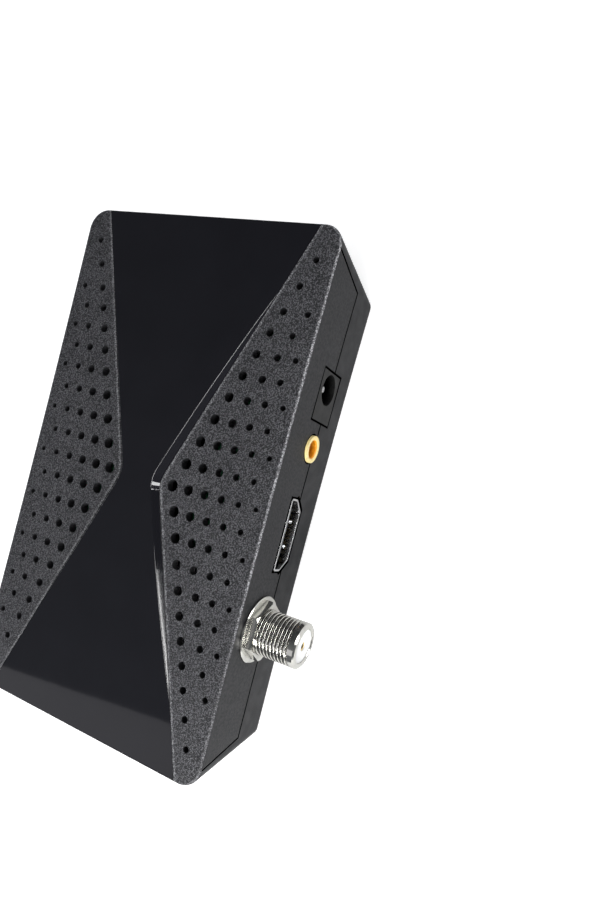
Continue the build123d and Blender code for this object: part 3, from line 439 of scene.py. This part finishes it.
def yellow_ring():
    """Yellow jack ring: pale polished face, with painted shade that turns the inside of the bore
    deep orange.
    """
    s = Shader("jack_yellow")
    bore, lead_in, fade = 3.6 / 2, 0.12, 0.15
    low, high = extent("av_jack_ring")
    radius = s.hypotenuse(*offset_from(s, (low + high) / 2))
    # painted shade: the bore's inside is drawn deep orange
    inside = s.ramp(radius, bore + lead_in + fade, bore + lead_in)
    drift = s.noise(1.5, 2.0)
    colour = s.mix(inside, s.mix(drift, *RING_FACE), s.mix(drift, *RING_BORE_SHADE))
    return s.finish(colour, s.ramp(s.noise(0.8, 3.0), 0.3, 0.7, 0.25, 0.35), s.soft_edges(0.15))


def lamp():
    """Tinted lamp body with a milky scatter."""
    s = Shader("lamp_red")
    colour = s.mix(s.noise(0.9, 2.0), *RED_LAMP)
    return s.finish(colour, 0.16, s.soft_edges(0.2), Transmission_Weight=0.4, IOR=1.5)


MATERIALS = {
    "tray_plastic": satin_tray(),
    "cover_plastic": eroded_cover(),
    "panel_gloss": piano_panel(),
    "foot_rubber": plain("foot_rubber", (0.018, 0.018, 0.018), 0.85, grain=0.25, depth=0.04),
    "screw_steel": metal("screw_steel", (0.46, 0.46, 0.48), 0.34),
    "board_laminate": laminate(),
    "nickel": metal("nickel", (0.80, 0.79, 0.74), 0.14, grain=2.0, depth=0.002, edge=None),
    "tinplate": metal("tinplate", (0.62, 0.63, 0.63), 0.30, brush=(14.0, 1.0, 1.0)),
    "bright_steel": metal("bright_steel", (0.70, 0.70, 0.71), 0.20, brush=(1.0, 9.0, 1.0)),
    "contact_gold": metal("contact_gold", (0.83, 0.62, 0.26), 0.22),
    "socket_white": plain("socket_white", (0.94, 0.94, 0.93), 0.38, vary=0.03, depth=0.006),
    "socket_black": plain("socket_black", (0.014, 0.014, 0.014), 0.42, depth=0.012, hollow=6.0),
    "jack_yellow": yellow_ring(),
    "window_smoke": smoked(),
    "display_black": plain("display_black", (0.008, 0.008, 0.009), 0.18, depth=0.004),
    "digit_green": plain("digit_green", (0.16, 0.20, 0.17), 0.30, vary=0.05, depth=0.004),
    "receiver_dark": plain("receiver_dark", (0.010, 0.008, 0.010), 0.12, depth=0.003),
    "lamp_red": lamp(),
    "chip_black": plain("chip_black", (0.020, 0.020, 0.021), 0.58, grain=0.15, depth=0.015),
    "pad_grey": plain("pad_grey", (0.36, 0.39, 0.43), 0.80, depth=0.02),
    "sink_black": metal("sink_black", (0.05, 0.05, 0.052), 0.42),
    "coil_grey": plain("coil_grey", (0.08, 0.08, 0.08), 0.62, grain=0.2, depth=0.03),
    "cap_silver": metal("cap_silver", (0.70, 0.70, 0.72), 0.28),
    "chip_tan": plain("chip_tan", (0.42, 0.30, 0.18), 0.50, vary=0.2, blotch=1.0),
}

for row in frame["record"]["subparts"]:
    solid = frame["nodes"][row["node"]]
    material = MATERIALS[row["material_slot"]]
    for index in range(len(solid.data.materials)):
        solid.material_slots[index].link = "OBJECT"
        solid.material_slots[index].material = material


# ------------------------------------------------------------------ pieces made here
SHARP = math.radians(38)   # faces that meet at more than this have a hard edge


def revolved(name, rings, material, body):
    """Closed surface whose rings (n, sides, 3) join into a tube and back to the first ring."""
    count, sides = rings.shape[:2]
    i, j = np.meshgrid(np.arange(count), np.arange(sides), indexing="ij")
    k, n = (i + 1) % count, (j + 1) % sides
    corners = [i * sides + j, k * sides + j, k * sides + n, i * sides + n]
    quads = np.stack(corners, axis=-1).reshape(-1, 4)
    mesh = bpy.data.meshes.new(name)
    mesh.from_pydata(rings.reshape(-1, 3).tolist(), [], quads.tolist())
    mesh.polygons.foreach_set("use_smooth", np.ones(len(quads), dtype=bool))
    mesh.update()
    mesh.set_sharp_from_angle(angle=SHARP)
    mesh.materials.append(material)
    piece = bpy.data.objects.new(name, mesh)
    bpy.context.collection.objects.link(piece)
    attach(piece, body)
    return piece


def threaded_barrel():
    """Barrel with a thread of about 60 degrees, 32 per inch, right-hand.

    Radius r(y, a) = crest - depth * t, with the phase y / pitch + a / 2 pi. Over one pitch t is 0
    on the flat crest and swells to 0.84 in the valley. It fades out at the thread's two ends.
    """
    low, high = extent("f_barrel")
    nut_low, nut_high = extent("f_nut")
    washer_low, _ = extent("f_washer")
    cx, cz = (nut_low[0] + nut_high[0]) / 2, (nut_low[2] + nut_high[2]) / 2
    crest = 4.75 * MM
    collar = (high[0] - low[0]) / 2
    collar_thick = 2.0 * MM
    bore = 3.5 * MM                      # crest, collar and bore are radii
    pitch = 25.4 / 32 * MM
    depth = 0.44 * MM
    steepness, crest_flat = 2.6, 0.55    # the flanks start at crest_flat / steepness of a pitch
    tip = high[1]
    nose = ((0.4, 0.0), (0.1, 0.32), (0.0, 0.45))    # millimetres back from the tip and in
    bore_edge = 0.15 * MM
    start = washer_low[1] - 0.2 * MM     # just behind the washer
    end = tip - 1.25 * MM                # where the plain end begins
    run_in, run_out = 0.4 * pitch, 0.8 * pitch
    sides, stations = 144, 260

    angle = np.linspace(0, TURN, sides, endpoint=False)
    step = low[1] + collar_thick
    outer = [(low[1], bore), (low[1], collar), (step, collar), (step, crest)]
    thread = [(y, crest) for y in np.linspace(start, end, stations)]
    front = [(tip - back * MM, crest - inward * MM) for back, inward in nose]
    mouth = [(tip, bore + bore_edge), (tip - bore_edge, bore)]
    path = np.array(outer + thread + front + mouth)
    y, radius = path[:, :1], np.repeat(path[:, 1:], sides, axis=1)
    phase = (y / pitch + angle[None, :] / TURN) % 1.0
    tooth = np.clip((0.5 - np.abs(phase - 0.5)) * steepness - crest_flat, 0.0, 1.0)
    tooth = tooth * tooth * (3 - 2 * tooth)
    fade = np.clip((y - start) / run_in, 0, 1) * np.clip((end - y) / run_out, 0, 1)
    threaded = (y >= start) & (y <= end) & (np.arange(len(path))[:, None] >= len(outer))
    radius = radius - depth * tooth * fade * threaded
    rings = np.stack([
        cx + radius * np.cos(angle),
        np.repeat(y, sides, axis=1),
        cz + radius * np.sin(angle),
    ], axis=-1)
    piece = revolved("threaded_barrel", rings, MATERIALS["nickel"], "case")
    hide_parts("f_barrel")


threaded_barrel()


def floor_springs():
    """Two pressed contact springs on the floor of the HDMI mouth.

    Each is a dome z(r) = rise * (1 - r^2)^2 over an ellipse, with r from 0 at its middle to 1 at
    its rim.
    """
    sheet = 0.35 * MM                    # metal of the shell, under the springs
    apart = 2.7 * MM                     # each from the middle of the mouth
    inset = 1.75 * MM                    # from the mouth's edge
    half_x, half_y, rise = 0.55 * MM, 0.65 * MM, 0.65 * MM
    sunk = 0.02 * MM                     # underside, let into the metal
    hub = 0.02                           # radius of the first ring, round the middle
    sides, stations = 32, 14

    low, high = extent("hdmi_shell")
    floor_z = low[2] + sheet
    angle = np.linspace(0, TURN, sides, endpoint=False)
    out = np.linspace(hub, 1.0, stations)
    reach = np.concatenate([out, out[::-1]])[:, None]
    lift = np.concatenate([rise * (1 - out ** 2) ** 2, np.full(stations, -sunk)])[:, None]
    for side in (-1, 1):
        x = (low[0] + high[0]) / 2 + side * apart
        y = high[1] - inset
        rings = np.stack([
            x + half_x * reach * np.cos(angle),
            y + half_y * reach * np.sin(angle),
            np.repeat(floor_z + lift, sides, axis=1),
        ], axis=-1)
        name = "floor_spring_far" if side < 0 else "floor_spring_near"
        revolved(name, rings, MATERIALS["bright_steel"], "case")


floor_springs()


# ------------------------------------------------------------------ studio
def stage_material(name, colour, seen):
    """Matt backdrop paint of a colour, which looks brighter by seen to the camera alone."""
    material = bpy.data.materials.new(name)
    material.use_nodes = True
    tree = material.node_tree
    bsdf = tree.nodes["Principled BSDF"]
    bsdf.inputs["Base Color"].default_value = (*colour, 1.0)
    bsdf.inputs["Roughness"].default_value = 0.9
    bsdf.inputs["Specular IOR Level"].default_value = 0.0
    light = tree.nodes.new("ShaderNodeEmission")
    light.inputs["Color"].default_value = (1.0, 1.0, 1.0, 1.0)
    path = tree.nodes.new("ShaderNodeLightPath")
    strength = tree.nodes.new("ShaderNodeMath")
    strength.operation = "MULTIPLY"
    tree.links.new(path.outputs["Is Camera Ray"], strength.inputs[0])
    strength.inputs[1].default_value = seen
    tree.links.new(strength.outputs[0], light.inputs["Strength"])
    both = tree.nodes.new("ShaderNodeAddShader")
    tree.links.new(bsdf.outputs[0], both.inputs[0])
    tree.links.new(light.outputs[0], both.inputs[1])
    tree.links.new(both.outputs[0], tree.nodes["Material Output"].inputs["Surface"])
    return material


bpy.ops.mesh.primitive_plane_add(size=6.0, location=(0, 0, 0))
floor = bpy.context.object
floor.name = "floor"
floor.data.materials.append(stage_material("floor_paint", (0.62, 0.62, 0.62), 0.70))

world = bpy.data.worlds.new("studio")
bpy.context.scene.world = world
world.use_nodes = True
tree = world.node_tree
ambient = tree.nodes["Background"]
ambient.inputs["Color"].default_value = (0.90, 0.94, 1.0, 1.0)
path = tree.nodes.new("ShaderNodeLightPath")


def room(value, low, high, start, end):
    """Room brightness from start to end, numbers or sockets, as a value goes from low to high."""
    node = tree.nodes.new("ShaderNodeMapRange")
    tree.links.new(value, node.inputs["Value"])
    for name, number in zip(RANGE_SOCKETS, (low, high, start, end)):
        if hasattr(number, "is_output"):
            tree.links.new(number, node.inputs[name])
        else:
            node.inputs[name].default_value = number
    return node.outputs["Result"]


# dark for reflections, darkest towards the far end; dim on matt surfaces; white for the camera
FAR_MIRRORED, NEAR_MIRRORED, MATT, SEEN = 0.045, 0.13, 0.22, 1.0
direction = tree.nodes.new("ShaderNodeTexCoord")
split = tree.nodes.new("ShaderNodeSeparateXYZ")
tree.links.new(direction.outputs["Generated"], split.inputs[0])
mirrored = room(split.outputs["X"], -0.40, 0.40, FAR_MIRRORED, NEAR_MIRRORED)
unseen = room(path.outputs["Is Glossy Ray"], 0.0, 1.0, MATT, mirrored)
brightness = room(path.outputs["Is Camera Ray"], 0.0, 1.0, unseen, SEEN)
tree.links.new(brightness, ambient.inputs["Strength"])


def unit(vector):
    return np.array(vector) / np.linalg.norm(vector)


def put(thing, right, up, back, place):
    """Turn a lamp or camera so that its own axes are right, up and back, and put it at a place."""
    turned = np.stack([right, up, back], axis=1)
    rows = [(*row, at) for row, at in zip(turned, place)]
    thing.matrix_world = Matrix(rows + [(0, 0, 0, 1)])


def lamp_at(name, place, size, power, along=(0, 0, 1), colour=(1.0, 1.0, 1.0)):
    """Soft box: an area lamp at a place, facing the part, its second side along a direction."""
    data = bpy.data.lights.new(name, "AREA")
    data.shape = "RECTANGLE"
    data.size, data.size_y = size
    data.energy = power
    data.color = colour
    box = bpy.data.objects.new(name, data)
    bpy.context.collection.objects.link(box)
    back = unit(place)
    across = unit(np.cross(along, back))
    put(box, across, np.cross(back, across), back, place)


lamp_at("overhead_strip", (0.13, 0.22, 0.85), (0.47, 0.16), 3.0, along=(0, 1, 0))
lamp_at("near_key", (0.24, 0.09, 0.17), (0.12, 0.12), 0.78)
lamp_at("rear_fill", (-0.30, 0.80, 0.16), (0.6, 0.22), 3.0)
lamp_at("flank_strip", (-0.232, 0.8205, 0.544), (0.004, 0.20), 0.045,
        along=(0.929, 0.365, -0.068))
lamp_at("waist_glint", (-0.08, 0.835, 0.55), (0.06, 0.14), 0.3, along=(1, 0, 0))
lamp_at("near_card", (0.626, -0.598, 0.644), (0.50, 1.1), 0.79,
        along=(0.145, 0.791, 0.594), colour=(0.98, 0.96, 1.0))

# ------------------------------------------------------------------ camera
camera_data = bpy.data.cameras.new("camera")
camera = bpy.data.objects.new("camera", camera_data)
bpy.context.collection.objects.link(camera)
put(camera, right=(-0.2588, 0.8698, -0.4200), up=(-0.9653, -0.2485, 0.0800),
    back=(-0.0348, 0.4262, 0.9040), place=(-5.46 * MM, 80.18 * MM, 133.41 * MM))
camera_data.sensor_width = 36.0
camera_data.lens = 25.67
camera_data.shift_x = 0.0222
camera_data.shift_y = 0.0667
camera_data.clip_start = 0.005
bpy.context.scene.camera = camera
bpy.context.scene.view_settings.view_transform = "Standard"
